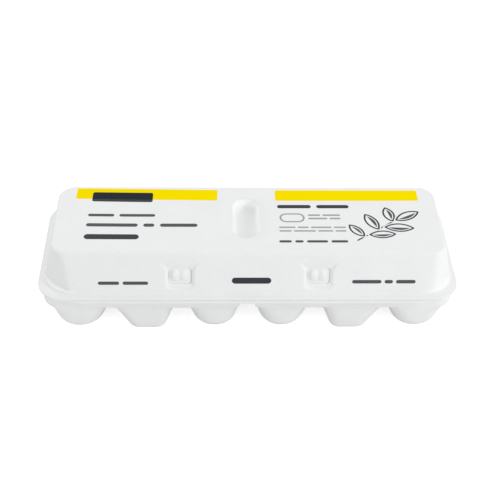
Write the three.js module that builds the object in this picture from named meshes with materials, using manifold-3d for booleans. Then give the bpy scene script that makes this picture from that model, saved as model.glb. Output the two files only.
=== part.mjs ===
// A shut foam carton for a dozen eggs: a lid, a tray with twelve cups, and the fold that joins
// the two along the back. Nothing inside it can be seen, so lid and tray are solid.
// Millimetres, +Z up. The origin is on the floor under the middle of the carton, +X runs along
// its length, and its front, where the lid latches, faces -Y.
import * as THREE from 'three';
import { LoftGeometry } from 'three/addons/geometries/LoftGeometry.js';
import { mergeVertices } from 'three/addons/utils/BufferGeometryUtils.js';
import Module from 'manifold-3d';

const wasm = await Module();
wasm.setup();

// Overall size
const halfLength = 151.4;
const halfWidth = 53.4;
const height = 71.5;

// Foam sheet and the air left between pieces that touch
const foam = 2.4;
const gap = 0.3;

// Rims: two flat lips that lie on each other all round
const trayRimTop = 38.5;
const trayRimBottom = 35.5;
const lidRimBottom = trayRimTop + gap;
const lidRimTop = 40.9;
const lidRimCorner = 19;
const trayRimCorner = 31;
const rimRound = 0.6;
const lipRise = 0.05;

// Lid: its walls lean in from the rim to a flat top panel, the back wall a little more
const wallFootX = 147.2;
const wallFootY = 48.4;
const wallFootZ = lidRimTop + 0.4;
const topHalfX = 140;
const topHalfY = 37.65;
const topY = -1.45;
const footCorner = 21;
const topCorner = 11;
const topRound = 2.4;
const topRoundSteps = 4;
const topCornerTightening = 0.4;
const footFillet = 0.8;
const ledgeZ = 42.4;
const ledgeRise = 0.25;
const topFacets = 0.25;

// Long dimple in the middle of the top panel, with sides that are steepest at the back and left
const dimpleX = -1.6;
const dimpleY = 0.1;
const dimpleHalfX = 10.2;
const dimpleHalfY = 22.5;
const dimpleFloorX = -2;
const dimpleFloorHalfX = 5.4;
const dimpleFloorHalfY = 18;
const dimpleDepth = 8;
const dimpleSteepness = 0.8;
const dimpleBow = 0.5;
const dimpleLevels = 8;

// Latches: a window in the lid's front wall, with a knob on a tab of the tray behind it
const windowHalfX = 8.2;
const windowLow = 7;
const windowHigh = 19.2;
const windowCorner = 2.6;
const pocketDepth = 1.1;
const pocketNeckHalfX = 9.6;
const pocketFlareHalfX = 17.5;
const pocketLow = 2.6;
const pocketHigh = 23;
const pocketNeckTop = 17.7;
const pocketBend = 2;
const pocketToe = 3;
const tabHalfX = 11.5;
const tabTop = 21.4;
const tabFoot = -5;
const tabThick = 2.2;
const tabCorner = 3;
const padInset = 0.25;
const padZ = -1.9;
const knobX = -0.5;
const knobHalfX = 6.7;
const knobLow = 9.7;
const knobHigh = 18.2;
const knobOut = 0.3;
const knobRound = 1.6;
const knobSteps = 3;

// Tray: twelve cups in two rows, with a web between their tops
const pitch = 49.1;
const columns = 6;
const rowY = 24.3;
const webBottom = 25.9;
const webInset = 3.6;
const webEndInset = 5;
const webLean = 2;
const archX = -0.9;
const archTopZ = 33.9;
const archTopHalfX = 5.2;
const archFootHalfX = 11.4;
const archFootZ = 2.5;

// Most cups end in a bowl a little above the floor. The second and the fifth stand on flat feet.
// Half widths and distances from the middle are those of the walls where they reach the floor.
const bowl = { floor: 0.6, halfX: 13.3, outer: 44.6, round: 10.5, squareness: 0.02 };
const foot = { floor: 0, halfX: 11.9, outer: 44, round: 5.6, squareness: 0.56 };
const footColumns = [1, 4];
const footSpread = 5.5;
const cornerSpread = 1.4;
const cupTopHalfX = 22.3;
const cupTopOuter = 47.2;
const cupTopCorner = 12;
const fullestCorner = 0.98;
const endFloor = 16.4;
const endTop = 23;
const flareStart = 21;
const flare = 2;
const cupLevels = 5;
const roundLevels = 4;
const roundSweep = 0.42 * Math.PI;

// Fold along the back, pressed thinner than the walls
const foldHalfX = 116;
const foldThick = 1.5;
const foldRound = 0.7;

// Angles of the points of a round corner, and of the lid's corners, from the carton's end towards
// its long side. A facet lies between the second angle and the last but one, wider on the left.
const cornerSteps = 5;
const cornerAngles = Array.from({ length: cornerSteps + 1 }, (_, step) => step / cornerSteps * 90);
const leftAngles = [0, 12, 36, 60, 84, 90];
const rightAngles = [0, 12, 31, 50, 69, 90];
const foamWhite = { color: 0xe9ebec, roughness: 0.55, metalness: 0 };

// Points of a rectangle with round corners, counterclockwise as seen from above. Facets is how far
// the middle of each corner is flattened, from 0 for a round one to 1 for one cut straight.
function outline({ x = 0, y = 0, z, halfX, halfY, corner, ofLid = false, facets = 0 }) {
  const points = [];
  for (let quarter = 0; quarter < 4; quarter += 1) {
    const onRight = quarter === 0 || quarter === 3;
    const centreX = x + (halfX - corner) * (onRight ? 1 : -1);
    const centreY = y + (halfY - corner) * (quarter < 2 ? 1 : -1);
    const lidAngles = onRight ? rightAngles : leftAngles;
    const fromEnd = ofLid ? lidAngles : cornerAngles;
    const angles = quarter % 2 === 0 ? fromEnd : fromEnd.map((degrees) => 90 - degrees).reverse();
    const facetMiddle = (angles[1] + angles.at(-2)) / 2;
    const facetHalf = (angles.at(-2) - angles[1]) / 2;
    for (const degrees of angles) {
      const angle = THREE.MathUtils.degToRad(quarter * 90 + degrees);
      const off = Math.min(Math.abs(degrees - facetMiddle), facetHalf);
      const chord = Math.cos(THREE.MathUtils.degToRad(facetHalf));
      const flat = chord / Math.cos(THREE.MathUtils.degToRad(off));
      const reach = corner * THREE.MathUtils.lerp(1, flat, facets);
      const across = centreX + reach * Math.cos(angle);
      const along = centreY + reach * Math.sin(angle);
      points.push(new THREE.Vector3(across, along, z));
    }
  }
  return points;
}

// A closed geometry as a solid that can be joined and cut
function solid(geometry) {
  const bare = new THREE.BufferGeometry();
  bare.setAttribute('position', geometry.getAttribute('position'));
  bare.setIndex(geometry.getIndex());
  const merged = mergeVertices(bare);
  const index = merged.getIndex().array;
  const triangles = [];
  for (let i = 0; i < index.length; i += 3) {
    const [a, b, c] = [index[i], index[i + 1], index[i + 2]];
    if (a !== b && b !== c && c !== a) triangles.push(a, b, c);
  }
  const mesh = new wasm.Mesh({
    numProp: 3,
    vertProperties: new Float32Array(merged.getAttribute('position').array),
    triVerts: new Uint32Array(triangles),
  });
  return new wasm.Manifold(mesh);
}

// A solid through level outlines, from the lowest to the highest
function stacked(rings) {
  return solid(new LoftGeometry(rings.map(outline), { capStart: true, capEnd: true }));
}

function joined(solids) {
  return solids.reduce((whole, piece) => whole.add(piece));
}

// A shape drawn on a plane and thickened along the plane's normal, from one depth to another
function plate(shape, low, high, place) {
  const geometry = new THREE.ExtrudeGeometry(shape, {
    depth: high - low,
    bevelEnabled: false,
    curveSegments: cornerSteps,
  });
  geometry.translate(0, 0, low);
  geometry.applyMatrix4(place);
  return solid(geometry);
}

function roundedShape(left, bottom, right, top, corner) {
  const shape = new THREE.Shape();
  shape.moveTo(left + corner, bottom);
  shape.lineTo(right - corner, bottom);
  shape.absarc(right - corner, bottom + corner, corner, -Math.PI / 2, 0);
  shape.lineTo(right, top - corner);
  shape.absarc(right - corner, top - corner, corner, 0, Math.PI / 2);
  shape.lineTo(left + corner, top);
  shape.absarc(left + corner, top - corner, corner, Math.PI / 2, Math.PI);
  shape.lineTo(left, bottom + corner);
  shape.absarc(left + corner, bottom + corner, corner, Math.PI, Math.PI * 1.5);
  return shape;
}

// The plane of the lid's front wall: x along the carton, y up the wall, z out of it
function frontWall(x) {
  const lean = wallFootY + topY - topHalfY;
  const up = new THREE.Vector3(0, lean, height - wallFootZ).normalize();
  const along = new THREE.Vector3(1, 0, 0);
  const out = new THREE.Vector3().crossVectors(along, up);
  const place = new THREE.Matrix4().makeBasis(along, up, out);
  return place.setPosition(x, -wallFootY, wallFootZ);
}

// Lid walls, with a rounded edge where they meet the top panel
function lidShell() {
  const rings = [
    { z: lidRimBottom, inset: rimRound },
    { z: lidRimBottom + rimRound, inset: 0 },
    { z: lidRimTop - rimRound, inset: 0 },
    { z: lidRimTop, inset: rimRound },
  ].map(({ z, inset }) => ({
    z,
    halfX: halfLength - inset,
    halfY: halfWidth - inset,
    corner: lidRimCorner,
    ofLid: true,
  }));
  rings.push({
    z: lidRimTop + lipRise,
    halfX: wallFootX + footFillet,
    halfY: wallFootY + footFillet,
    corner: footCorner,
    ofLid: true,
  });
  const wallLevel = (z) => {
    const rise = (z - wallFootZ) / (height - wallFootZ);
    return {
      z,
      y: topY * rise,
      halfX: THREE.MathUtils.lerp(wallFootX, topHalfX, rise),
      halfY: THREE.MathUtils.lerp(wallFootY, topHalfY, rise),
      ofLid: true,
      facets: THREE.MathUtils.lerp(1, topFacets, rise),
    };
  };
  rings.push({ ...wallLevel(ledgeZ), corner: footCorner, facets: 0 });
  rings.push({ ...wallLevel(ledgeZ + ledgeRise), corner: footCorner });
  const tilt = Math.atan((wallFootY - topHalfY) / (height - wallFootZ));
  const start = wallLevel(height - topRound * (1 - Math.sin(tilt)));
  for (let step = 0; step <= topRoundSteps; step += 1) {
    const angle = THREE.MathUtils.lerp(tilt, Math.PI / 2, step / topRoundSteps);
    const inward = topRound * (Math.cos(tilt) - Math.cos(angle));
    rings.push({
      ...start,
      z: height - topRound * (1 - Math.sin(angle)),
      halfX: start.halfX - inward,
      halfY: start.halfY - inward,
      corner: topCorner - topCornerTightening * inward,
    });
  }
  return stacked(rings);
}

// Hollow of the dimple, rounded at its mouth and where its sides run into its floor
function dimpleHollow() {
  const rings = [];
  for (let step = dimpleLevels; step >= 0; step -= 1) {
    const share = step / dimpleLevels;
    const fall = (1 - Math.cos(Math.PI * share ** dimpleSteepness)) / 2;
    const halfX = THREE.MathUtils.lerp(dimpleHalfX, dimpleFloorHalfX, share);
    const bow = dimpleBow * Math.sin(Math.PI * share);
    rings.push({
      x: THREE.MathUtils.lerp(dimpleX, dimpleFloorX, share) - bow,
      y: dimpleY + bow,
      z: height - dimpleDepth * fall,
      halfX,
      halfY: THREE.MathUtils.lerp(dimpleHalfY, dimpleFloorHalfY, share),
      corner: halfX,
    });
  }
  rings.push({ ...rings.at(-1), z: height + dimpleDepth });
  return stacked(rings);
}

// Shallow bell-shaped pocket round a window, wide below the lid's top edge
function pocketShape() {
  const neck = pocketNeckHalfX;
  const shoulder = pocketHigh - pocketBend;
  const shape = new THREE.Shape();
  shape.moveTo(-pocketFlareHalfX, pocketHigh);
  shape.bezierCurveTo(-neck - pocketBend, pocketHigh, -neck, shoulder, -neck, pocketNeckTop);
  shape.lineTo(-neck, windowLow);
  shape.bezierCurveTo(-neck, pocketLow, -pocketToe, pocketLow, 0, pocketLow);
  shape.bezierCurveTo(pocketToe, pocketLow, neck, pocketLow, neck, windowLow);
  shape.lineTo(neck, pocketNeckTop);
  shape.bezierCurveTo(neck, shoulder, neck + pocketBend, pocketHigh, pocketFlareHalfX, pocketHigh);
  return shape;
}

function lid() {
  let shell = lidShell().subtract(dimpleHollow());
  for (const x of [-pitch, pitch]) {
    const wall = frontWall(x);
    const opening = roundedShape(-windowHalfX, windowLow, windowHalfX, windowHigh, windowCorner);
    const slot = roundedShape(-tabHalfX - gap, 2 * tabFoot, tabHalfX + gap, tabTop + gap, tabCorner);
    shell = shell.subtract(plate(pocketShape(), -pocketDepth, foam, wall));
    shell = shell.subtract(plate(opening, -foam - gap, foam, wall));
    shell = shell.subtract(plate(slot, -foam - tabThick - 2 * gap, -foam, wall));
  }
  return shell.subtract(backRelief(lidRimBottom - 1, lidRimTop));
}

// What the fold takes off the back edge of a rim
function backRelief(low, high) {
  const half = foldHalfX + gap;
  return stacked([low, high].map((z) => ({
    z,
    y: halfWidth,
    halfX: half,
    halfY: foldThick + gap,
    corner: gap,
  })));
}

// Distance of a cup's wall from its middle at a height: rounded off at the bottom, then leaning
// outwards, and with a flare curving out further into the web
function wallAt(z, kind, atFloor, atTop, flared) {
  const lean = (atTop - atFloor) / (webBottom - kind.floor);
  const slant = Math.sqrt(1 + lean * lean);
  const centreZ = kind.floor + kind.round;
  if (z < centreZ - kind.round * lean / slant) {
    const centre = atFloor + lean * kind.round - kind.round * slant;
    return centre + Math.sqrt(kind.round ** 2 - (centreZ - z) ** 2);
  }
  const curve = Math.max(z - flareStart, 0) / (webBottom - flareStart);
  return atFloor + lean * (z - kind.floor) + flared * curve * curve;
}

// One level of a cup. Its far side is the one towards the carton's end.
function cupRing(column, side, z, level) {
  const isFoot = footColumns.includes(column);
  const isCorner = column === 0 || column === columns - 1;
  const kind = isFoot ? foot : bowl;
  const nearTop = cupTopHalfX + (isCorner ? cornerSpread : 0);
  const near = wallAt(level, kind, kind.halfX, nearTop, flare);
  const farFloor = isCorner ? endFloor : kind.halfX;
  const farTop = isCorner ? endTop : cupTopHalfX + (isFoot ? footSpread : 0);
  const far = wallAt(level, kind, farFloor, farTop, isCorner ? 0 : flare);
  const outer = wallAt(level, kind, kind.outer, cupTopOuter, 0);
  const inner = rowY - wallAt(level, kind, kind.halfX, cupTopHalfX, 0);
  const halfX = (near + far) / 2;
  const halfY = (outer - inner) / 2;
  const roundest = Math.min(halfX, halfY);
  const rise = (level - kind.floor) / (webBottom - kind.floor);
  const corner = THREE.MathUtils.lerp(roundest * (1 - kind.squareness), cupTopCorner, rise);
  const place = column - (columns - 1) / 2;
  return {
    x: place * pitch + Math.sign(place) * (far - near) / 2,
    y: side * (outer + inner) / 2,
    z,
    halfX,
    halfY,
    corner: Math.min(corner, roundest * fullestCorner),
  };
}

function cup(column, side) {
  const kind = footColumns.includes(column) ? foot : bowl;
  const levels = [];
  for (let step = 0; step < roundLevels; step += 1) {
    levels.push(kind.floor + kind.round * (1 - Math.cos(step / roundLevels * roundSweep)));
  }
  const start = kind.floor + kind.round * (1 - Math.cos(roundSweep));
  for (let step = 0; step <= cupLevels; step += 1) {
    levels.push(THREE.MathUtils.lerp(start, webBottom, step / cupLevels));
  }
  const rings = levels.map((z) => cupRing(column, side, z, z));
  rings.push(cupRing(column, side, trayRimBottom + 1, webBottom));
  return stacked(rings);
}

// Tab with a knob that shows in a window of the lid
function latchTab(x) {
  const wall = frontWall(x);
  const face = -foam - gap;
  const outer = roundedShape(-tabHalfX, tabFoot, tabHalfX, tabTop, tabCorner);
  const tab = plate(outer, face - tabThick, face, wall);
  const padLevel = (z) => ({
    z,
    y: (windowLow + windowHigh) / 2,
    halfX: windowHalfX - padInset,
    halfY: (windowHigh - windowLow) / 2 - padInset,
    corner: windowCorner,
  });
  const knobLevel = (z, inset) => ({
    z,
    x: knobX,
    y: (knobLow + knobHigh) / 2,
    halfX: knobHalfX - inset,
    halfY: (knobHigh - knobLow) / 2 - inset,
    corner: knobRound,
  });
  const knobRings = [padLevel(face - knobRound), padLevel(padZ), knobLevel(padZ + lipRise, 0)];
  for (let step = 0; step <= knobSteps; step += 1) {
    const angle = step / knobSteps * Math.PI / 2;
    const z = knobOut - knobRound * (1 - Math.sin(angle));
    knobRings.push(knobLevel(z, knobRound * (1 - Math.cos(angle))));
  }
  const knob = new LoftGeometry(knobRings.map(outline), { capStart: true, capEnd: true });
  knob.applyMatrix4(wall);
  return tab.add(solid(knob));
}

function tray() {
  const rimRings = [
    { z: trayRimBottom, inset: rimRound },
    { z: trayRimBottom + rimRound, inset: 0 },
    { z: trayRimTop - rimRound, inset: 0 },
    { z: trayRimTop, inset: rimRound },
  ].map(({ z, inset }) => ({
    z,
    halfX: halfLength - inset,
    halfY: halfWidth - inset,
    corner: trayRimCorner,
  }));
  const webRings = [
    { z: webBottom, lean: webLean },
    { z: trayRimBottom + rimRound, lean: 0 },
  ].map(({ z, lean }) => ({
    z,
    halfX: halfLength - webEndInset - lean,
    halfY: halfWidth - webInset - lean,
    corner: trayRimCorner - webInset - lean,
  }));
  const cups = [];
  for (let column = 0; column < columns; column += 1) {
    cups.push(cup(column, -1), cup(column, 1));
  }
  const arch = new THREE.Shape();
  arch.moveTo(-archFootHalfX, archFootZ);
  arch.lineTo(archFootHalfX, archFootZ);
  arch.quadraticCurveTo(archTopHalfX, webBottom, archTopHalfX, archTopZ);
  arch.lineTo(-archTopHalfX, archTopZ);
  arch.quadraticCurveTo(-archTopHalfX, webBottom, -archFootHalfX, archFootZ);
  const across = new THREE.Matrix4().makeRotationX(Math.PI / 2).setPosition(archX, 0, 0);
  const hollow = plate(arch, -halfWidth, halfWidth, across);
  const body = joined([stacked(webRings), ...cups]).subtract(hollow).add(stacked(rimRings));
  const tabs = [latchTab(-pitch), latchTab(pitch)];
  return joined([body, ...tabs]).subtract(backRelief(trayRimBottom - 1, trayRimTop + 1));
}

// Fold: a thin strip of the same foam that bulges out a little between the rims
function fold() {
  const low = trayRimBottom;
  const high = lidRimTop;
  const shape = roundedShape(halfWidth - foldThick, low, halfWidth, high, foldRound);
  const place = new THREE.Matrix4().makeBasis(
    new THREE.Vector3(0, 1, 0),
    new THREE.Vector3(0, 0, 1),
    new THREE.Vector3(1, 0, 0),
  );
  return plate(shape, -foldHalfX, foldHalfX, place);
}

function named(name, piece) {
  const { vertProperties, triVerts } = piece.getMesh();
  const geometry = new THREE.BufferGeometry();
  geometry.setAttribute('position', new THREE.BufferAttribute(vertProperties, 3));
  geometry.setIndex(new THREE.BufferAttribute(triVerts, 1));
  geometry.computeVertexNormals();
  const mesh = new THREE.Mesh(geometry, new THREE.MeshStandardMaterial(foamWhite));
  mesh.name = name;
  return mesh;
}

const carton = new THREE.Group();
carton.add(named('lid', lid()));
carton.add(named('tray', tray()));
carton.add(named('hinge_fold', fold()));

export default carton;
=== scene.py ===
# A shut foam carton for a dozen eggs, seen from its front: the lid, the tray with its twelve cups
# and two latch tabs, and the fold along the back. Objects are in metres, in the frame of the packed
# model: +X along the carton, the front towards -Y, the floor at z = 0. Shapes are worked out in
# millimetres and brought to metres when a piece is finished.
import math

import bmesh
import bpy
from mathutils import Matrix, Vector


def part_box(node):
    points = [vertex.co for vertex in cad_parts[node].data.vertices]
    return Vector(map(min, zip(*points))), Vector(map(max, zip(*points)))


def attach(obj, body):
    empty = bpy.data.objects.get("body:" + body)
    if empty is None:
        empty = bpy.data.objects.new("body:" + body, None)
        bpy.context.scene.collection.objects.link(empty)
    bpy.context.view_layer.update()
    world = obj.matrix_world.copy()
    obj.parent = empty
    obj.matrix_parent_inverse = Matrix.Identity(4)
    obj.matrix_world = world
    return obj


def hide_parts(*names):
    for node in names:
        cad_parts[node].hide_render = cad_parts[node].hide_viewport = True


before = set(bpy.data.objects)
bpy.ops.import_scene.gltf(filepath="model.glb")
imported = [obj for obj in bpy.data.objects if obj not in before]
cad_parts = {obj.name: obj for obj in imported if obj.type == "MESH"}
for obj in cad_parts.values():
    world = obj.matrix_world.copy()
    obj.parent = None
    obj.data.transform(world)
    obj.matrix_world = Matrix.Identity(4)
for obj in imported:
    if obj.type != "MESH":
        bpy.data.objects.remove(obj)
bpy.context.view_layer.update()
MM = 0.001

# Lid
# The upper half of the carton, formed from one sheet of white polystyrene foam: walls that lean
# in from a flat lip to a top panel, with a long dimple pressed into the middle of the panel and
# a window punched in each of two pockets in the front wall.
lid_low, lid_high = (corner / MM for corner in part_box("lid"))
lip_low = lid_low.z
top = lid_high.z
outer_half = Vector((lid_high.x, lid_high.y))
lid_corner = 19.0
lip_round = 0.7
lip_high = 40.9
lip_rise = 0.02
wall_foot = Vector((147.2, 48.4))
wall_foot_z = 41.3
wall_top = Vector((140.0, 37.65))
panel_y = -1.45
foot_corner = 21.0
top_corner = 11.0
left_facet = (math.radians(12.0), math.radians(84.0))
right_facet = (math.radians(12.0), math.radians(69.0))
top_facets = 0.25
foot_fillet = 1.5
ledge_rise = 0.35
top_round = 2.4
top_round_steps = 8
top_corner_shrink = 0.4
wall_rows = 8
panel_loops = 14
panel_fall = 0.14
panel_bead = 0.25
panel_bead_width = Vector((10.0, 3.0))
panel_sag = 0.4
panel_sag_width = Vector((60.0, 26.0))

dimple_middle = Vector((-1.6, 0.1))
dimple_half = Vector((10.2, 22.5))
dimple_floor_middle = Vector((-2.0, 0.1))
dimple_floor_half = Vector((5.4, 18.0))
dimple_depth = 8.0
dimple_steepness = 0.8
dimple_bow = Vector((-0.5, 0.5))
dimple_rows = 24

latch_x = 49.1
window_half = 8.2
window_low = 7.0
window_high = 19.2
window_corner = 2.6
window_roll = 0.6
window_roll_width = 1.8
pocket_depth = 1.1
pocket_neck = 9.6
pocket_flare = 17.5
pocket_low = 2.6
pocket_neck_top = 17.0
pocket_high = 26.0
pocket_edge = 0.9
rib_height = 0.11
rib_pitch = 2.0
rib_low = 24.4
rib_high = 28.4
rib_half = 8.0
rib_fade = 3.0
foam = 2.4
gap = 0.3
tab_half = 11.5
tab_low = -5.0
tab_high = 21.4
tab_thick = 2.2
tab_corner = 3.0


def lerp(a, b, share):
    return a + (b - a) * share


def smooth(low, high, value):
    share = min(max((value - low) / (high - low), 0.0), 1.0)
    return share * share * (3.0 - 2.0 * share)


def quarter(steps):
    """Sine and cosine along a quarter turn, from 0 to 90 degrees."""
    angles = [step / steps * math.pi / 2 for step in range(steps + 1)]
    return [(math.sin(angle), math.cos(angle)) for angle in angles]


def level(z, half, corner, middle=(0.0, 0.0), facets=0.0):
    """One loop of a stack: a rectangle of that half size, with round corners, at a height."""
    return {"z": z, "half": half, "corner": corner, "middle": middle, "facets": facets}


def with_facets(verts, half, corner, middle, facets):
    """Flattens most of each round corner, so that a crease shows on either side of it."""
    for vert in verts:
        reach = vert.co.xy - Vector(middle)
        centre = Vector([math.copysign(half[axis] - corner, reach[axis]) for axis in (0, 1)])
        arc = reach - centre
        start, end = right_facet if reach.x > 0.0 else left_facet
        facet_half = (end - start) / 2
        off = abs(math.atan2(abs(arc.y), abs(arc.x)) - (start + end) / 2)
        if off < facet_half:
            arc *= lerp(1.0, math.cos(facet_half) / math.cos(off), facets)
        vert.co.xy = Vector(middle) + centre + arc


def loop_of_edges(bm, z, half, corner, middle, facets, steps, cuts):
    """A level rectangle with round corners, with the same number of points for any size."""
    others = set(bm.edges)
    place = Matrix.Translation((*middle, z)) @ Matrix.Diagonal((*half, 1.0, 1.0))
    verts = bmesh.ops.create_grid(bm, x_segments=1, y_segments=1, size=1.0, matrix=place)["verts"]
    rounded = bmesh.ops.bevel(
        bm,
        geom=verts,
        offset=min(corner, 0.97 * min(half)),
        segments=steps,
        profile=0.5,
        affect="VERTICES",
        material=-1,
    )
    face = rounded["verts"][0].link_faces[0]
    if facets:
        with_facets(face.verts, half, corner, middle, facets)
    edges = list(face.edges)
    bmesh.ops.delete(bm, geom=[face], context="FACES_ONLY")
    for axis in (0, 1):
        straight = []
        for edge in edges:
            run = edge.verts[1].co - edge.verts[0].co
            if abs(run[1 - axis]) < 1e-3 * abs(run[axis]):
                straight.append(edge)
        bmesh.ops.subdivide_edges(bm, edges=straight, cuts=cuts[axis])
    return [edge for edge in bm.edges if edge not in others]


def stack(levels, steps=12, cuts=(59, 15)):
    """A closed body through level loops, each bridged to the next."""
    bm = bmesh.new()
    loops = [loop_of_edges(bm, steps=steps, cuts=cuts, **one) for one in levels]
    for lower, upper in zip(loops, loops[1:]):
        bmesh.ops.bridge_loops(bm, edges=lower + upper)
    for end in (loops[0], loops[-1]):
        bmesh.ops.contextual_create(bm, geom=end)
    bmesh.ops.recalc_face_normals(bm, faces=bm.faces)
    return bm


def piece(name, bm, scale=1.0):
    """A bmesh made an object of that name."""
    bmesh.ops.scale(bm, vec=(scale,) * 3, verts=bm.verts)
    mesh = bpy.data.meshes.new(name)
    bm.to_mesh(mesh)
    bm.free()
    obj = bpy.data.objects.new(name, mesh)
    bpy.context.scene.collection.objects.link(obj)
    return obj


def applied(obj):
    """The object with its modifiers made part of its mesh."""
    graph = bpy.context.evaluated_depsgraph_get()
    mesh = bpy.data.meshes.new_from_object(obj.evaluated_get(graph))
    obj.modifiers.clear()
    obj.data = mesh
    return obj


def cut_or_joined(obj, other, operation):
    """obj with the other object cut away or joined on; the other one is used up."""
    change = obj.modifiers.new(operation.lower(), "BOOLEAN")
    change.object = other
    change.operation = operation
    change.solver = "MANIFOLD"
    applied(obj)
    bpy.data.objects.remove(other)
    return obj


def lip_levels(low, high, half, corner):
    """The rolled edge of a lip, from its underside round to its top."""
    under = [(low + lip_round * (1.0 - cosine), 1.0 - sine) for sine, cosine in quarter(4)]
    over = [(high - lip_round * (1.0 - sine), 1.0 - cosine) for sine, cosine in quarter(4)]
    levels = []
    for z, share in under + over:
        inset = lip_round * share
        levels.append(level(z, half - Vector((inset, inset)), corner - inset))
    return levels


wall_rise = top - wall_foot_z
wall_tilt = math.atan((wall_foot.y - wall_top.y) / wall_rise)
wall_up = Vector((0.0, wall_foot.y - wall_top.y + panel_y, wall_rise)).normalized()
wall_out = Vector((1.0, 0.0, 0.0)).cross(wall_up)
wall_origin = Vector((0.0, -wall_foot.y, wall_foot_z))
round_start = top - top_round * (1.0 - math.sin(wall_tilt))
panel_edge = wall_top - Vector((1.0, 1.0)) * top_round * math.tan((math.pi / 2 - wall_tilt) / 2)


def wall_level(z, corner, out=0.0, flattened=1.0):
    """The loop of the lid's walls at a height, or one that stands out from them."""
    share = (z - wall_foot_z) / wall_rise
    half = wall_foot.lerp(wall_top, share) + Vector((out, out))
    facets = flattened * lerp(1.0, top_facets, share)
    return level(z, half, corner + out, (0.0, panel_y * share), facets)


def front_wall(x):
    """The place of the front wall: x along the carton, y up the wall, z out of it."""
    turn = Matrix((Vector((1.0, 0.0, 0.0)), wall_up, wall_out)).transposed().to_4x4()
    return Matrix.Translation(wall_origin + Vector((x, 0.0, 0.0))) @ turn


def lid_levels():
    """The lip, the ledge, the walls, the rounded edge, the panel and the dimple, in turn."""
    levels = lip_levels(lip_low, lip_high, outer_half, lid_corner)
    for sine, cosine in quarter(5):
        z = lip_high + lip_rise + foot_fillet * (1.0 - cosine)
        levels.append(wall_level(z, foot_corner, foot_fillet * (1.0 - sine), 0.0))
    for sine, cosine in quarter(4)[1:]:
        ledge_z = lip_high + lip_rise + foot_fillet + ledge_rise * sine
        levels.append(wall_level(ledge_z, foot_corner, 0.0, 1.0 - cosine))
    for row in range(1, wall_rows):
        share = row / wall_rows
        z = lerp(ledge_z, round_start, share)
        levels.append(wall_level(z, lerp(foot_corner, top_corner, share)))
    start = wall_level(round_start, top_corner)
    for step in range(top_round_steps):
        angle = lerp(wall_tilt, math.pi / 2, step / (top_round_steps - 1))
        inward = top_round * (math.cos(wall_tilt) - math.cos(angle))
        half = start["half"] - Vector((inward, inward))
        z = top - top_round * (1.0 - math.sin(angle))
        corner = top_corner - top_corner_shrink * inward
        levels.append(level(z, half, corner, start["middle"], top_facets))
    edge = levels[-1]
    for loop in range(1, panel_loops):
        share = loop / panel_loops
        half = edge["half"].lerp(dimple_half, share)
        corner = lerp(edge["corner"], dimple_half.x, share)
        middle = Vector(edge["middle"]).lerp(dimple_middle, share)
        levels.append(level(top - panel_fall * share, half, corner, middle))
    for row in range(dimple_rows + 1):
        share = row / dimple_rows
        fall = (1.0 - math.cos(math.pi * share ** dimple_steepness)) / 2
        half = dimple_half.lerp(dimple_floor_half, share)
        middle = dimple_middle.lerp(dimple_floor_middle, share)
        middle += dimple_bow * math.sin(math.pi * share)
        levels.append(level(lerp(top - panel_fall, top - dimple_depth, fall), half, half.x, middle))
    return levels


def pocket_at(x, s):
    """How deep the front wall is pressed in at x from a latch's middle and s up the wall."""
    if s < window_low:
        reach = math.hypot(x / pocket_neck, (window_low - s) / (window_low - pocket_low))
        edge = (1.0 - reach) * (window_low - pocket_low)
    else:
        spread = max(s - pocket_neck_top, 0.0) / (pocket_high - pocket_neck_top)
        edge = pocket_neck + (pocket_flare - pocket_neck) * spread ** 2 - abs(x)
    side = smooth(-pocket_edge, pocket_edge, edge)
    return pocket_depth * side * (1.0 - smooth(pocket_neck_top + 2.0, pocket_high, s))


def ribs_at(x, s):
    """Two fine ridges across the wall above a window."""
    ends = 1.0 - smooth(rib_half, rib_half + rib_fade, abs(x))
    within = smooth(-0.6, 0.6, s - rib_low) * smooth(-0.4, 0.8, rib_high - s)
    wave = 1.0 - math.cos((s - rib_low) / rib_pitch * 2.0 * math.pi)
    return rib_height * ends * within * wave


def window_distance(x, s):
    """Distance outwards from the outline of a window."""
    dx = abs(x) - (window_half - window_corner)
    ds = abs(s - (window_low + window_high) / 2) - ((window_high - window_low) / 2 - window_corner)
    outside = math.hypot(max(dx, 0.0), max(ds, 0.0))
    return outside + min(max(dx, ds), 0.0) - window_corner


lid_mesh = stack(lid_levels())
near_latches = []
for face in lid_mesh.faces:
    middle = face.calc_center_median()
    on_front = face.normal.dot(wall_out) > 0.97 and middle.y < 0.0
    if on_front and abs(abs(middle.x) - latch_x) < pocket_flare + 4.0:
        near_latches.append(face)
bmesh.ops.subdivide_edges(
    lid_mesh,
    edges=list({edge for face in near_latches for edge in face.edges}),
    cuts=8,
    use_grid_fill=True,
)
for vert in lid_mesh.verts:
    reach = vert.co - wall_origin
    if vert.co.y < -30.0 and abs(reach.dot(wall_out)) < 0.01:
        x = abs(vert.co.x) - latch_x
        s = reach.dot(wall_up)
        roll = window_roll * (1.0 - smooth(-0.2, window_roll_width, window_distance(x, s)))
        vert.co -= wall_out * (pocket_at(x, s) + roll + ribs_at(x, s))
    if vert.co.z > lip_high + foot_fillet:
        across = panel_edge.y - abs(vert.co.y - panel_y)
        along = panel_edge.x - abs(vert.co.x)
        for depth, width in ((panel_bead, panel_bead_width), (panel_sag, panel_sag_width)):
            vert.co.z -= depth * smooth(0.0, width.y, across) * smooth(0.0, width.x, along)
lid = piece("lid_shell", lid_mesh)

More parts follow.
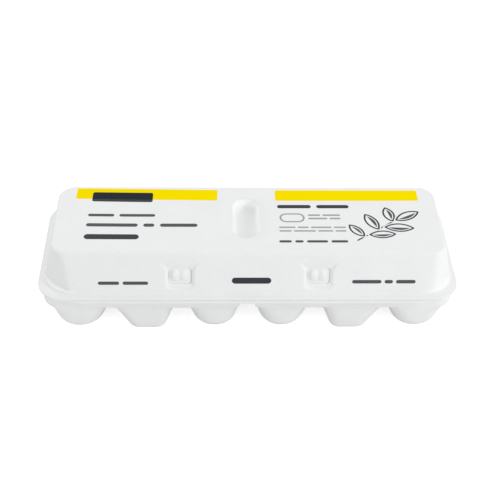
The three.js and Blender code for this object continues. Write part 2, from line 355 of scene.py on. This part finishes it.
for x in (-latch_x, latch_x):
    middle = (0.0, (window_low + window_high) / 2)
    half = (window_half, (window_high - window_low) / 2)
    window = stack([level(z, half, window_corner, middle) for z in (-foam - gap, foam)], 6, (1, 1))
    window.transform(front_wall(x))
    cut_or_joined(lid, piece("window", window), "DIFFERENCE")
    middle = (0.0, (2 * tab_low + tab_high) / 2)
    half = (tab_half + gap, (tab_high - 2 * tab_low) / 2 + gap)
    depths = (-foam - tab_thick - 2 * gap, -foam)
    slot = stack([level(z, half, tab_corner, middle) for z in depths], 6, (1, 1))
    slot.transform(front_wall(x))
    cut_or_joined(lid, piece("slot", slot), "DIFFERENCE")

# Tray
# The lower half, formed from the same foam: a lip under the lid's, and twelve cups in two rows.
# Most cups end in a bowl that hangs just off the floor, and the second and fifth in each row stand
# on square flat feet. An arch runs through the middle, from the front to the back.
rim_low = 35.5
rim_high = 38.5
rim_corner = 31.0
pitch = latch_x
columns = 6
row_y = 24.3
web_low = 25.9
web_inset = Vector((5.0, 3.6))
web_lean = 2.0
cup_top = Vector((22.3, 47.2))
cup_top_corner = 12.0
flare_start = 21.0
flare = 2.0
bowl = {"floor": 0.6, "half_x": 13.3, "outer": 44.6, "round": 10.5, "squareness": 0.02}
foot = {"floor": 0.0, "half_x": 11.9, "outer": 44.0, "round": 5.6, "squareness": 0.56}
foot_columns = (1, 4)
foot_spread = 5.5
corner_spread = 1.4
end_floor = 16.4
end_top = 23.0
arch_x = -0.9
arch_top = 5.2
arch_top_z = 33.9
arch_foot = 11.4
arch_foot_z = 2.5
bowl_rows = 12
cup_rows = 14


def wall_at(z, kind, at_floor, at_top, flared):
    """Distance of a cup's wall from its middle: round at the bottom, then leaning outwards."""
    lean = (at_top - at_floor) / (web_low - kind["floor"])
    slant = math.hypot(1.0, lean)
    centre_z = kind["floor"] + kind["round"]
    if z < centre_z - kind["round"] * lean / slant:
        centre = at_floor + lean * kind["round"] - kind["round"] * slant
        return centre + math.sqrt(max(kind["round"] ** 2 - (centre_z - z) ** 2, 0.0))
    curve = max(z - flare_start, 0.0) / (web_low - flare_start)
    return at_floor + lean * (z - kind["floor"]) + flared * curve ** 2


def cup_level(column, side, z):
    """The loop of one cup at a height; above the web its walls go straight up."""
    shape_z = min(z, web_low)
    is_foot = column in foot_columns
    is_corner = column in (0, columns - 1)
    kind = foot if is_foot else bowl
    near_top = cup_top.x + (corner_spread if is_corner else 0.0)
    near = wall_at(shape_z, kind, kind["half_x"], near_top, flare)
    if is_corner:
        far = wall_at(shape_z, kind, end_floor, end_top, 0.0)
    else:
        far = wall_at(shape_z, kind, kind["half_x"], cup_top.x + is_foot * foot_spread, flare)
    outer = wall_at(shape_z, kind, kind["outer"], cup_top.y, 0.0)
    inner = row_y - wall_at(shape_z, kind, kind["half_x"], cup_top.x, 0.0)
    half = Vector(((near + far) / 2, (outer - inner) / 2))
    share = (shape_z - kind["floor"]) / (web_low - kind["floor"])
    corner = lerp(min(half) * (1.0 - kind["squareness"]), cup_top_corner, share)
    place = column - (columns - 1) / 2
    middle = (place * pitch + math.copysign((far - near) / 2, place), side * (outer + inner) / 2)
    return level(z, half, corner, middle)


def cup_levels(column, side):
    """A cup's loops, close together where its bowl is round."""
    kind = foot if column in foot_columns else bowl
    round_high = kind["floor"] + kind["round"]
    heights = [lerp(round_high, kind["floor"], cosine) for _, cosine in quarter(bowl_rows)]
    heights += [lerp(round_high, web_low, row / cup_rows) for row in range(1, cup_rows + 1)]
    return [cup_level(column, side, z) for z in [*heights, rim_low + 1.5]]


web = []
for z, lean in ((web_low, web_lean), (rim_low + 1.5, 0.0)):
    half = outer_half - web_inset - Vector((lean, lean))
    web.append(level(z, half, rim_corner - web_inset.y - lean))
tray = piece("tray_shell", stack(web))
for column in range(columns):
    for side in (-1, 1):
        cup = stack(cup_levels(column, side), 8, (5, 5))
        cut_or_joined(tray, piece("cup", cup), "UNION")

arch = bmesh.new()
verts = bmesh.ops.create_grid(arch, x_segments=2, y_segments=12, size=1.0)["verts"]
for vert in verts:
    share = (vert.co.y + 1.0) / 2
    half = lerp(lerp(arch_foot, arch_top, share), arch_top, share)
    z = lerp(lerp(arch_foot_z, web_low, share), lerp(web_low, arch_top_z, share), share)
    vert.co = (arch_x + vert.co.x * half, -outer_half.y, z)
grown = bmesh.ops.extrude_face_region(arch, geom=arch.faces)["geom"]
grown = [element for element in grown if isinstance(element, bmesh.types.BMVert)]
bmesh.ops.translate(arch, vec=(0.0, 2 * outer_half.y, 0.0), verts=grown)
bmesh.ops.recalc_face_normals(arch, faces=arch.faces)
cut_or_joined(tray, piece("arch", arch), "DIFFERENCE")

remesh = tray.modifiers.new("one_skin", "REMESH")
remesh.mode = "VOXEL"
remesh.voxel_size = 1.2
soften = tray.modifiers.new("soft_creases", "SMOOTH")
soften.factor = 0.5
soften.iterations = 5
applied(tray)
rim = stack(lip_levels(rim_low, rim_high, outer_half, rim_corner))
cut_or_joined(tray, piece("rim", rim), "UNION")

# Latch tabs
# Two tongues of the tray's front wall that stand up inside the lid. Each carries a knob, which
# snaps into a window and holds the carton shut.
pad_middle = -0.13
pad_inset = Vector((0.2, 0.06))
pad_z = -1.9
knob_x = -0.5
knob_half = 5.7
knob_low = 9.7
knob_high = 18.2
knob_out = 0.5
knob_round = 1.9
knob_corner = 2.2
knob_foot = 1.1
knob_foot_rise = 0.8
knob_foot_step = 0.05
knob_crest = 0.8
knob_dip = 0.8
knob_dip_width = 1.8
knob_below = (5.0, 0.9)
knob_above = (4.0, 0.6)
knob_loops = 8


def knob_fall(off, up):
    """How far a knob's face falls at off from its middle and up from its crest."""
    fall = knob_dip * math.exp(-(off / knob_dip_width) ** 2)
    for (reach, depth), away in ((knob_below, -up), (knob_above, up)):
        fall += depth * smooth(0.0, reach, away)
    return fall


def latch_tab(x):
    """One tab with its pad and knob, behind the window at x."""
    face = -foam - gap
    middle = (0.0, (tab_low + tab_high) / 2)
    half = Vector((tab_half, (tab_high - tab_low) / 2))
    plate = stack([level(z, half, tab_corner, middle) for z in (face - tab_thick, face)], 8, (1, 1))
    tab = piece("tab", plate)
    middle = (pad_middle, (window_low + window_high) / 2)
    half = Vector((window_half, (window_high - window_low) / 2)) - pad_inset
    levels = [level(z, half, window_corner, middle) for z in (face - 1.0, pad_z)]
    middle = (knob_x, (knob_low + knob_high) / 2)
    half = Vector((knob_half, (knob_high - knob_low) / 2))
    for sine, cosine in quarter(4):
        spread = knob_foot * (1.0 - sine)
        z = pad_z + knob_foot_step + knob_foot_rise * (1.0 - cosine)
        levels.append(level(z, half + Vector((spread, spread)), knob_corner, middle))
    for sine, cosine in quarter(6):
        inset = knob_round * (1.0 - cosine)
        z = knob_out - knob_round * (1.0 - sine)
        levels.append(level(z, half - Vector((inset, inset)), knob_corner - 0.6 * inset, middle))
    flat = levels[-1]
    for loop in range(1, knob_loops):
        share = 1.0 - loop / knob_loops
        inner = {"half": flat["half"] * share, "corner": flat["corner"] * share}
        levels.append({**flat, **inner, "z": knob_out + 0.02 * loop})
    knob = stack(levels, 6, (15, 11))
    for vert in knob.verts:
        fall = knob_fall(vert.co.x - middle[0], vert.co.y - middle[1] - knob_crest)
        vert.co.z -= fall * smooth(pad_z, knob_out, vert.co.z)
    cut_or_joined(tab, piece("knob", knob), "UNION")
    tab.data.transform(front_wall(x))
    return tab


for x in (-latch_x, latch_x):
    cut_or_joined(tray, latch_tab(x), "UNION")

# Hinge fold
# The strip of foam along the back that joins lid and tray. It is pressed thinner than the walls,
# with a crease on either side of a narrow band, so that the lid can swing on it.
fold_low, fold_high = (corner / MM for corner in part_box("hinge_fold"))
fold_half = (fold_high - fold_low) / 2
fold_middle = (fold_high + fold_low) / 2
fold_round = 0.7
fold_crease = 1.5
fold_crease_half = 0.9
fold_crease_depth = 0.4
fold_levels = []
for sine, cosine in quarter(4):
    inset = fold_round * (1.0 - sine)
    end = -fold_half.x + fold_round * (1.0 - cosine)
    fold_levels.append(level(end, (fold_half.y - inset, fold_half.z - inset), fold_round))
fold_levels += [{**one, "z": -one["z"]} for one in reversed(fold_levels)]
fold = stack(fold_levels, 5, (1, 31))
for vert in fold.verts:
    if vert.co.x > 0.0:
        nearness = 1.0 - smooth(0.0, fold_crease_half, abs(abs(vert.co.y) - fold_crease))
        vert.co.x -= fold_crease_depth * nearness
lying = Matrix(((0.0, 0.0, 1.0), (1.0, 0.0, 0.0), (0.0, 1.0, 0.0))).to_4x4()
fold.transform(Matrix.Translation(fold_middle) @ lying)
hinge = piece("hinge_fold_strip", fold)

# Foam finish
# Thermoformed polystyrene foam: a white skin with a low satin shine, over fine closed cells that
# show as a faint mottle and a pebbled surface, and broad shallow waves left by the mould.
foam_white = (0.915, 0.92, 0.924, 1.0)
foam_shade = (0.89, 0.896, 0.9, 1.0)
foam_specular = 0.3
cell_height = 0.06 * MM
grain_height = 0.1 * MM
wave_height = 1.2 * MM


def linked(tree, kind, inputs=(), **settings):
    """A node with settings, and with values or other nodes' outputs on its inputs."""
    node = tree.nodes.new(kind)
    for name, value in settings.items():
        setattr(node, name, value)
    for name, value in dict(inputs).items():
        if isinstance(value, bpy.types.NodeSocket):
            tree.links.new(value, node.inputs[name])
        else:
            node.inputs[name].default_value = value
    return node


def effect(name, inputs, outputs):
    """A shader node group with those sockets, and its input and output nodes."""
    group = bpy.data.node_groups.new(name, "ShaderNodeTree")
    for label, kind in inputs:
        group.interface.new_socket(label, in_out="INPUT", socket_type=kind)
    for label, kind in outputs:
        group.interface.new_socket(label, in_out="OUTPUT", socket_type=kind)
    return group, group.nodes.new("NodeGroupInput"), group.nodes.new("NodeGroupOutput")


def maths(tree, operation, first, second=0.0):
    return linked(tree, "ShaderNodeMath", {0: first, 1: second}, operation=operation).outputs[0]


foam_skin, given, out = effect(
    "foam_skin",
    [("Vector", "NodeSocketVector")],
    [("Tint", "NodeSocketFloat"), ("Height", "NodeSocketFloat"), ("Roughness", "NodeSocketFloat")],
)
place = given.outputs["Vector"]
cells = linked(
    foam_skin,
    "ShaderNodeTexVoronoi",
    {"Vector": place, "Scale": 1100.0, "Smoothness": 0.6},
    feature="SMOOTH_F1",
).outputs["Distance"]
grain, patches, waves = (
    linked(
        foam_skin,
        "ShaderNodeTexNoise",
        {"Vector": place, "Scale": scale, "Detail": detail},
    ).outputs["Fac"]
    for scale, detail in ((420.0, 4.0), (55.0, 3.0), (22.0, 1.0))
)
fine = maths(foam_skin, "MULTIPLY", cells, cell_height)
coarse = maths(foam_skin, "MULTIPLY", grain, grain_height)
broad = maths(foam_skin, "MULTIPLY", waves, wave_height)
height = maths(foam_skin, "ADD", maths(foam_skin, "ADD", fine, coarse), broad)
mottle = maths(foam_skin, "MULTIPLY", maths(foam_skin, "ADD", grain, patches), 0.5)
tint = linked(
    foam_skin,
    "ShaderNodeMapRange",
    {"Value": mottle, "From Min": 0.35, "From Max": 0.65},
)
rough = linked(
    foam_skin,
    "ShaderNodeMapRange",
    {"Value": patches, "From Min": 0.3, "From Max": 0.7, "To Min": 0.36, "To Max": 0.48},
)
foam_skin.links.new(tint.outputs["Result"], out.inputs["Tint"])
foam_skin.links.new(height, out.inputs["Height"])
foam_skin.links.new(rough.outputs["Result"], out.inputs["Roughness"])


def foam_material(name):
    """White foam, with the tree, the shader, and the colour and place for any print on it."""
    material = bpy.data.materials.new(name)
    material.use_nodes = True
    tree = material.node_tree
    shader = tree.nodes["Principled BSDF"]
    shader.inputs["Specular IOR Level"].default_value = foam_specular
    coordinates = tree.nodes.new("ShaderNodeTexCoord").outputs["Object"]
    skin = linked(tree, "ShaderNodeGroup", node_tree=foam_skin)
    tree.links.new(coordinates, skin.inputs["Vector"])
    colour = linked(
        tree,
        "ShaderNodeMix",
        {0: skin.outputs["Tint"], 6: foam_shade, 7: foam_white},
        data_type="RGBA",
    ).outputs[2]
    heights = {"Height": skin.outputs["Height"], "Distance": 1.0, "Strength": 1.0}
    bump = linked(tree, "ShaderNodeBump", heights)
    tree.links.new(bump.outputs["Normal"], shader.inputs["Normal"])
    tree.links.new(skin.outputs["Roughness"], shader.inputs["Roughness"])
    tree.links.new(colour, shader.inputs["Base Color"])
    return material, tree, shader, colour, coordinates


def finished(obj, material, node):
    """A piece brought to metres, shaded smooth, and tied to the frame."""
    obj.data.transform(Matrix.Scale(MM, 4))
    obj.data.shade_smooth()
    obj.data.set_sharp_from_angle(angle=math.radians(50))
    obj.data.materials.clear()
    obj.data.materials.append(material)
    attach(obj, "root")
    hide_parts(node)


# Print on the lid, and painted highlights
# Flat inks printed on the foam before it is formed: two yellow bands along the back of the top
# panel, a slate plaque, rows of dark and grey bars, and a sprig of leaves on the right. A
# near-white painted highlight lies on the sloping rim of the dimple and on the corner ledges, where
# light catches them.
yellow_ink = (1.0, 0.79, 0.0, 1.0)
slate_ink = (0.028, 0.034, 0.042, 1.0)
dark_ink = (0.075, 0.085, 0.095, 1.0)
grey_ink = (0.36, 0.38, 0.40, 1.0)
ink_edge = 0.15
# Near-white painted highlight, with the heights and the area of the dimple's rim where it is
# painted.
highlight_white = (0.99, 0.99, 0.99, 1.0)
rim_highlight_heights = (64.0, 68.5, 70.0, 70.6)
rim_highlight_bar = (-14.0, 11.0, -24.6, 24.8, 12.0)

bar_mask, given, out = effect(
    "bar_mask",
    [("Vector", "NodeSocketVector"), ("Middle", "NodeSocketVector"), ("Half", "NodeSocketVector"),
     ("Corner", "NodeSocketFloat")],
    [("Mask", "NodeSocketFloat")],
)


def vector_maths(tree, operation, first, second=None, output="Vector"):
    inputs = {0: first} if second is None else {0: first, 1: second}
    return linked(tree, "ShaderNodeVectorMath", inputs, operation=operation).outputs[output]


def edge_mask(tree, distance, edge):
    """1 where a distance is below zero, 0 above, with a thin soft edge."""
    inputs = {"Value": distance, "From Min": -edge, "From Max": edge, "To Min": 1.0, "To Max": 0.0}
    made = linked(tree, "ShaderNodeMapRange", inputs, interpolation_type="SMOOTHSTEP")
    return made.outputs["Result"]


corner = given.outputs["Corner"]
reach = vector_maths(bar_mask, "SUBTRACT", given.outputs["Vector"], given.outputs["Middle"])
straight = vector_maths(bar_mask, "SUBTRACT", given.outputs["Half"], corner)
beyond = vector_maths(bar_mask, "SUBTRACT", vector_maths(bar_mask, "ABSOLUTE", reach), straight)
outside = vector_maths(bar_mask, "MAXIMUM", beyond, (0.0, 0.0, 0.0))
outside = vector_maths(bar_mask, "LENGTH", outside, output="Value")
split = linked(bar_mask, "ShaderNodeSeparateXYZ", {0: beyond})
inside = maths(bar_mask, "MAXIMUM", split.outputs[0], split.outputs[1])
inside = maths(bar_mask, "MINIMUM", inside, 0.0)
distance = maths(bar_mask, "SUBTRACT", maths(bar_mask, "ADD", outside, inside), corner)
bar_mask.links.new(edge_mask(bar_mask, distance, ink_edge), out.inputs["Mask"])

leaf_line = 1.3
leaf_margin = 1.0
leaf_shade_inset = 0.8
leaf_mask, given, out = effect(
    "leaf_mask",
    [("Vector", "NodeSocketVector"), ("Root", "NodeSocketVector"), ("Angle", "NodeSocketFloat"),
     ("Length", "NodeSocketFloat"), ("Width", "NodeSocketFloat")],
    [("Cover", "NodeSocketFloat"), ("Line", "NodeSocketFloat"), ("Shade", "NodeSocketFloat")],
)
reach = vector_maths(leaf_mask, "SUBTRACT", given.outputs["Vector"], given.outputs["Root"])
turned = linked(
    leaf_mask,
    "ShaderNodeVectorRotate",
    {"Vector": reach, "Angle": maths(leaf_mask, "MULTIPLY", given.outputs["Angle"], -1.0)},
    rotation_type="Z_AXIS",
)
split = linked(leaf_mask, "ShaderNodeSeparateXYZ", {0: turned.outputs["Vector"]})
half_long = maths(leaf_mask, "MULTIPLY", given.outputs["Length"], 0.5)
half_wide = maths(leaf_mask, "MULTIPLY", given.outputs["Width"], 0.5)
along = maths(leaf_mask, "SUBTRACT", split.outputs[0], half_long)
across = split.outputs[1]
squares = [maths(leaf_mask, "POWER", half, 2.0) for half in (half_long, half_wide)]
squares = maths(leaf_mask, "ADD", *squares)
radius = maths(leaf_mask, "DIVIDE", squares, given.outputs["Width"])
offset = maths(leaf_mask, "SUBTRACT", radius, half_wide)
far_side = maths(leaf_mask, "ADD", maths(leaf_mask, "ABSOLUTE", across), offset)
spot = linked(leaf_mask, "ShaderNodeCombineXYZ", {0: along, 1: far_side}).outputs[0]
distance = vector_maths(leaf_mask, "LENGTH", spot, output="Value")
distance = maths(leaf_mask, "SUBTRACT", distance, radius)
cover = edge_mask(leaf_mask, maths(leaf_mask, "SUBTRACT", distance, leaf_margin), ink_edge)
body = edge_mask(leaf_mask, distance, ink_edge)
field = edge_mask(leaf_mask, maths(leaf_mask, "ADD", distance, leaf_line), ink_edge)
line = maths(leaf_mask, "SUBTRACT", body, field)
lower = edge_mask(leaf_mask, across, ink_edge)
inner = maths(leaf_mask, "ADD", distance, leaf_line + leaf_shade_inset)
inner = edge_mask(leaf_mask, inner, ink_edge)
leaf_mask.links.new(cover, out.inputs["Cover"])
leaf_mask.links.new(line, out.inputs["Line"])
leaf_mask.links.new(maths(leaf_mask, "MULTIPLY", lower, inner), out.inputs["Shade"])


def bars(tree, place, spans):
    """A mask of bars, each given as left, right, low, high and the radius of its corners."""
    mask = None
    for left, right, low, high, corner in spans:
        bar = linked(tree, "ShaderNodeGroup", node_tree=bar_mask)
        tree.links.new(place, bar.inputs["Vector"])
        bar.inputs["Middle"].default_value = ((left + right) / 2, (low + high) / 2, 0.0)
        bar.inputs["Half"].default_value = ((right - left) / 2, (high - low) / 2, 50.0)
        bar.inputs["Corner"].default_value = corner
        one = bar.outputs["Mask"]
        mask = one if mask is None else maths(tree, "MAXIMUM", mask, one)
    return mask


def bar_row(left, low, high, widths, space):
    """The spans of a row of bars with round ends, from left to right."""
    spans = []
    for width in widths:
        spans.append((left, left + width, low, high, (high - low) / 2))
        left += width + space
    return spans


def band(tree, value, low, low_full, high_full, high):
    """1 where a value lies in a span, with a soft step on either side of it."""
    rise = linked(
        tree,
        "ShaderNodeMapRange",
        {"Value": value, "From Min": low, "From Max": low_full},
        interpolation_type="SMOOTHSTEP",
    )
    fall = linked(
        tree,
        "ShaderNodeMapRange",
        {"Value": value, "From Min": high_full, "From Max": high, "To Min": 1.0, "To Max": 0.0},
        interpolation_type="SMOOTHSTEP",
    )
    return maths(tree, "MULTIPLY", rise.outputs["Result"], fall.outputs["Result"])


def inked(tree, colour, mask, ink):
    return linked(tree, "ShaderNodeMix", {0: mask, 6: colour, 7: ink}, data_type="RGBA").outputs[2]


printed_foam, tree, shader, colour, coordinates = foam_material("printed_foam")
place = vector_maths(tree, "MULTIPLY", coordinates, (1.0 / MM, 1.0 / MM, 1.0 / MM))
split = linked(tree, "ShaderNodeSeparateXYZ", {0: place})
on_panel = maths(tree, "GREATER_THAN", split.outputs[2], round_start + 0.5)
flat = {0: split.outputs[0], 1: split.outputs[1]}
panel_place = linked(tree, "ShaderNodeCombineXYZ", flat).outputs[0]
up_wall = vector_maths(tree, "SUBTRACT", place, tuple(wall_origin))
up_wall = vector_maths(tree, "DOT_PRODUCT", up_wall, tuple(wall_up), output="Value")
flat = {0: split.outputs[0], 1: up_wall}
wall_place = linked(tree, "ShaderNodeCombineXYZ", flat).outputs[0]
on_wall = maths(tree, "LESS_THAN", split.outputs[2], round_start)
on_wall = maths(tree, "MULTIPLY", on_wall, maths(tree, "LESS_THAN", split.outputs[1], -wall_top.y))

plaque = (-115.0, -70.4, 17.4, 28.1)
askew = linked(
    tree,
    "ShaderNodeVectorRotate",
    {"Vector": panel_place, "Center": (-22.0, 26.0, 0.0), "Angle": math.radians(0.8)},
    rotation_type="Z_AXIS",
).outputs["Vector"]
yellow = maths(
    tree,
    "MAXIMUM",
    bars(tree, askew, [(-127.0, -22.6, 20.2, 32.2, 1.2)]),
    bars(tree, panel_place, [(20.3, 127.0, 20.0, 32.0, 1.2)]),
)
slate = maths(tree, "MAXIMUM", bars(tree, askew, [(*plaque, 1.6)]), bars(tree, panel_place, [
    *bar_row(-117.5, -23.8, -18.2, (39.0,), 4.0),
    *bar_row(21.3, 11.4, 15.2, (25.0, 24.0), 4.0),
]))
dark_bars = bars(tree, panel_place, [
    *bar_row(-116.5, 1.5, 4.5, (19.0, 26.0), 3.6),
    *bar_row(-117.0, -9.8, -6.2, (37.0, 8.0, 27.0), 4.0),
    *bar_row(21.2, -27.2, -24.6, (9.0, 6.0, 15.0, 12.0), 2.4),
])
small = bars(tree, panel_place, [
    *bar_row(43.5, 2.6, 4.4, (9.0, 13.0), 1.6),
    *bar_row(43.5, -1.2, 0.6, (14.0, 8.0), 1.6),
    *bar_row(21.8, -11.0, -9.4, (12.0, 8.0, 15.0, 9.0), 1.5),
    *bar_row(21.8, -15.0, -13.4, (9.0, 16.0, 11.0, 8.0), 1.5),
    (22.6, 41.0, -4.6, 5.6, 5.0),
])
seal = bars(tree, panel_place, [(24.0, 39.6, -3.2, 4.2, 3.6)])
small = maths(tree, "SUBTRACT", small, seal)
wall_bars = bars(tree, wall_place, [
    *bar_row(-107.0, 7.0, 9.6, (15.0, 18.0), 2.4),
    *bar_row(73.0, 7.9, 10.7, (21.0, 6.0, 14.0), 2.2),
])
wall_bold = bars(tree, wall_place, bar_row(-12.5, 7.8, 12.6, (28.0,), 4.0))

leaves = (
    ((83.0, -20.5), 128.0, 17.0, 8.0),
    ((86.0, -18.5), 2.0, 20.0, 8.6),
    ((94.0, -13.0), 116.0, 20.0, 9.0),
    ((98.0, -10.0), -4.0, 22.0, 9.4),
    ((105.0, -4.0), 104.0, 17.0, 8.6),
    ((107.0, -2.6), 28.0, 21.0, 9.2),
)
dark = None
covered = None
for root, angle, length, width in leaves:
    leaf = linked(tree, "ShaderNodeGroup", node_tree=leaf_mask)
    tree.links.new(panel_place, leaf.inputs["Vector"])
    leaf.inputs["Root"].default_value = (*root, 0.0)
    leaf.inputs["Angle"].default_value = math.radians(angle)
    leaf.inputs["Length"].default_value = length
    leaf.inputs["Width"].default_value = width
    if dark is None:
        dark, pale, covered = leaf.outputs["Line"], leaf.outputs["Shade"], leaf.outputs["Cover"]
        continue
    covered = maths(tree, "MAXIMUM", covered, leaf.outputs["Cover"])
    bare = maths(tree, "SUBTRACT", 1.0, leaf.outputs["Cover"])
    dark = maths(tree, "ADD", maths(tree, "MULTIPLY", dark, bare), leaf.outputs["Line"])
    pale = maths(tree, "ADD", maths(tree, "MULTIPLY", pale, bare), leaf.outputs["Shade"])

stem_place = linked(
    tree,
    "ShaderNodeVectorRotate",
    {"Vector": panel_place, "Center": (77.0, -25.0, 0.0), "Angle": math.radians(-37.0)},
    rotation_type="Z_AXIS",
).outputs["Vector"]
stem = bars(tree, stem_place, [(77.0, 114.0, -25.6, -24.4, 0.6)])
bare = maths(tree, "SUBTRACT", 1.0, covered)
dark = maths(tree, "MAXIMUM", dark, maths(tree, "MULTIPLY", stem, bare))

# Painted highlight on the dimple's sloping rim, standing in for the light that catches it.
rim_highlight = band(tree, split.outputs[2], *rim_highlight_heights)
near_dimple = bars(tree, panel_place, [rim_highlight_bar])
rim_highlight = maths(tree, "MULTIPLY", rim_highlight, near_dimple)
# Painted highlight on the ledges at the foot of the lid's corners, standing in for the light on
# them.
ledge_foot = lip_high + foot_fillet
ledge_highlight_heights = [ledge_foot + rise for rise in (-0.2, 0.0, 0.5, 0.7)]
ledge_highlight = band(tree, split.outputs[2], *ledge_highlight_heights)
near_corners = maths(tree, "ABSOLUTE", split.outputs[0])
near_corners = maths(tree, "GREATER_THAN", near_corners, wall_foot.x - foot_corner - 3.0)
ledge_highlight = maths(tree, "MULTIPLY", ledge_highlight, near_corners)
# The painted highlights go into the colour first, under the print.
colour = inked(tree, colour, maths(tree, "MAXIMUM", rim_highlight, ledge_highlight), highlight_white)
for mask, ink in ((yellow, yellow_ink), (pale, dark_ink), (small, grey_ink), (dark_bars, dark_ink),
                  (dark, slate_ink), (slate, slate_ink)):
    colour = inked(tree, colour, maths(tree, "MULTIPLY", mask, on_panel), ink)
for mask, ink in ((wall_bars, dark_ink), (wall_bold, slate_ink)):
    colour = inked(tree, colour, maths(tree, "MULTIPLY", mask, on_wall), ink)
tree.links.new(colour, shader.inputs["Base Color"])
dull = maths(tree, "SUBTRACT", 1.0, maths(tree, "MULTIPLY", yellow, on_panel))
specular = maths(tree, "MULTIPLY", dull, foam_specular)
tree.links.new(specular, shader.inputs["Specular IOR Level"])

plain_foam = foam_material("plain_foam")[0]
finished(lid, printed_foam, "lid")
finished(tray, plain_foam, "tray")
finished(hinge, plain_foam, "hinge_fold")

# Studio
# A pale seamless floor under soft light from all sides, with a broad lamp in front on the right, a
# weaker one behind on the left, and the camera in front of the carton, looking down on it.
floor_half = 4.0
floor_white = (0.88, 0.88, 0.88, 1.0)
floor_glow = 0.7
sky_strength = 0.79
floor_mesh = bmesh.new()
bmesh.ops.create_grid(floor_mesh, x_segments=1, y_segments=1, size=floor_half)
floor = piece("studio_floor", floor_mesh)
floor_paint = bpy.data.materials.new("floor_paint")
floor_paint.use_nodes = True
floor_shader = floor_paint.node_tree.nodes["Principled BSDF"]
floor_shader.inputs["Base Color"].default_value = floor_white
floor_shader.inputs["Roughness"].default_value = 0.9
floor_shader.inputs["Emission Color"].default_value = (1.0, 1.0, 1.0, 1.0)
seen = linked(floor_paint.node_tree, "ShaderNodeLightPath").outputs["Is Camera Ray"]
glow = maths(floor_paint.node_tree, "MULTIPLY", seen, floor_glow)
floor_paint.node_tree.links.new(glow, floor_shader.inputs["Emission Strength"])
floor.data.materials.append(floor_paint)

world = bpy.data.worlds.new("studio")
world.use_nodes = True
world.node_tree.nodes["Background"].inputs["Color"].default_value = (1.0, 1.0, 1.0, 1.0)
world.node_tree.nodes["Background"].inputs["Strength"].default_value = sky_strength
scene = bpy.context.scene
scene.world = world
scene.view_settings.view_transform = "Standard"


def lamp(name, place, size, watts):
    """A square soft box that faces the middle of the carton."""
    light = bpy.data.lights.new(name, "AREA")
    light.size = size
    light.energy = watts
    obj = bpy.data.objects.new(name, light)
    obj.location = place
    aim = Vector((0.0, 0.0, top * MM / 2)) - Vector(place)
    obj.rotation_euler = aim.to_track_quat("-Z", "Y").to_euler()
    scene.collection.objects.link(obj)


lamp("key_light", (1.5, -0.75, 0.93), 0.5, 8.0)
lamp("fill_light", (-0.9, 1.3, 0.8), 0.8, 3.5)

camera_elevation = math.radians(41.75)
camera_turn = math.radians(2.5)
camera_roll = math.radians(1.67)
camera_distance = 780.24
aim = Vector((1.79, 0.0, 37.5))
focal_pixels = 1041.34
picture_pixels = 500.0
middle_row = 252.23
camera_data = bpy.data.cameras.new("camera")
camera_data.sensor_width = 36.0
camera_data.lens = focal_pixels / picture_pixels * camera_data.sensor_width
camera_data.shift_y = (middle_row - picture_pixels / 2) / picture_pixels
turned = Matrix.Rotation(-camera_turn, 4, "Z")
turned @= Matrix.Rotation(math.pi / 2 - camera_elevation, 4, "X")
camera = bpy.data.objects.new("camera", camera_data)
spot = aim + turned @ Vector((0.0, 0.0, camera_distance))
camera.matrix_world = Matrix.Translation(spot * MM) @ turned @ Matrix.Rotation(camera_roll, 4, "Z")
scene.collection.objects.link(camera)
scene.camera = camera
